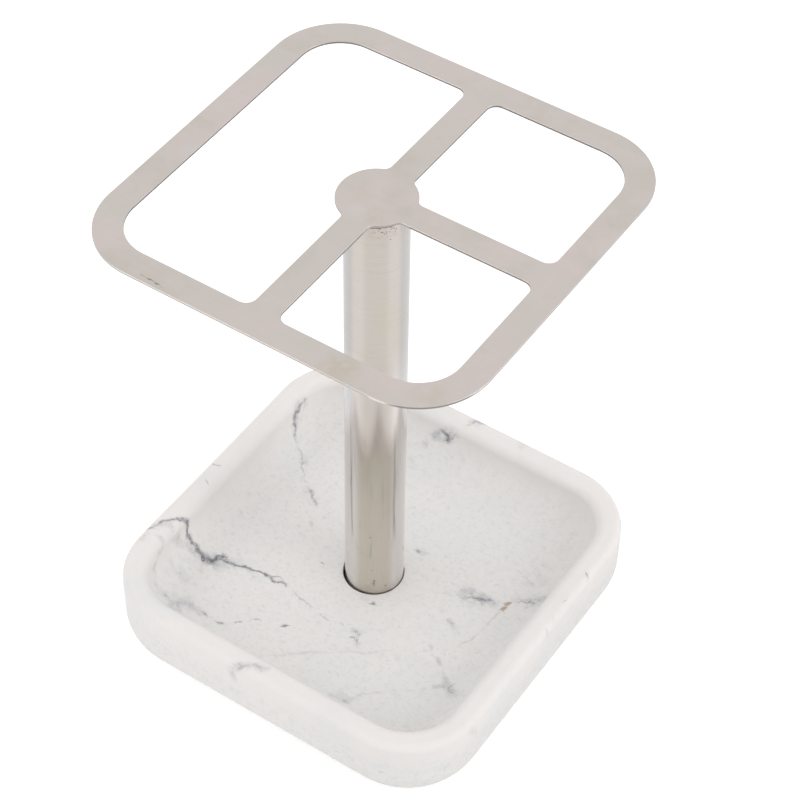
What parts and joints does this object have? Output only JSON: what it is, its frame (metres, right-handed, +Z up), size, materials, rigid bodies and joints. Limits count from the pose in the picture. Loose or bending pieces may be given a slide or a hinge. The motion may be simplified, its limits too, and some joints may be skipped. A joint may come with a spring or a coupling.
{
  "type": "razor stand",
  "caption": "Free-standing bathroom razor stand: flat square steel rack with open windows on a round post, rising from a dished square marble tray.",
  "frame": {"origin": "on the post's axis, in the plane that the rubber feet rest on", "axes": "+Z up along the post; +X towards the side with the two small windows; +Y along the rack's spine"},
  "size_m": [0.1086, 0.109, 0.1507],
  "materials": {
    "marble": "honed white marble with grey veins",
    "rack_steel": "satin brushed",
    "post_steel": "satin, brushed round the tube",
    "weld": "raw weld, heat-tinted",
    "fastener_steel": "bright zinc",
    "black_rubber": "matt",
    "clear_rubber": "milky, soft",
    "fibre": "pressed red fibre"
  },
  "bodies": {
    "tray": {"marble_tray": "marble", "rubber_feet": "clear_rubber", "socket_gasket": "black_rubber", "soft_washer": "fibre", "flat_washer": "fastener_steel"},
    "rack": {"rack_plate": "rack_steel", "hub_weld": "weld", "post_tube": "post_steel", "threaded_plug": "fastener_steel", "clamp_screw": "fastener_steel", "spring_washer": "fastener_steel"}
  },
  "joints": [
    {"name": "post_swivel", "type": "hinge", "parent": "tray", "child": "rack", "pos_m": [0, 0, 0.0111], "axis": [0, 0, 1], "continuous": true}
  ]
}
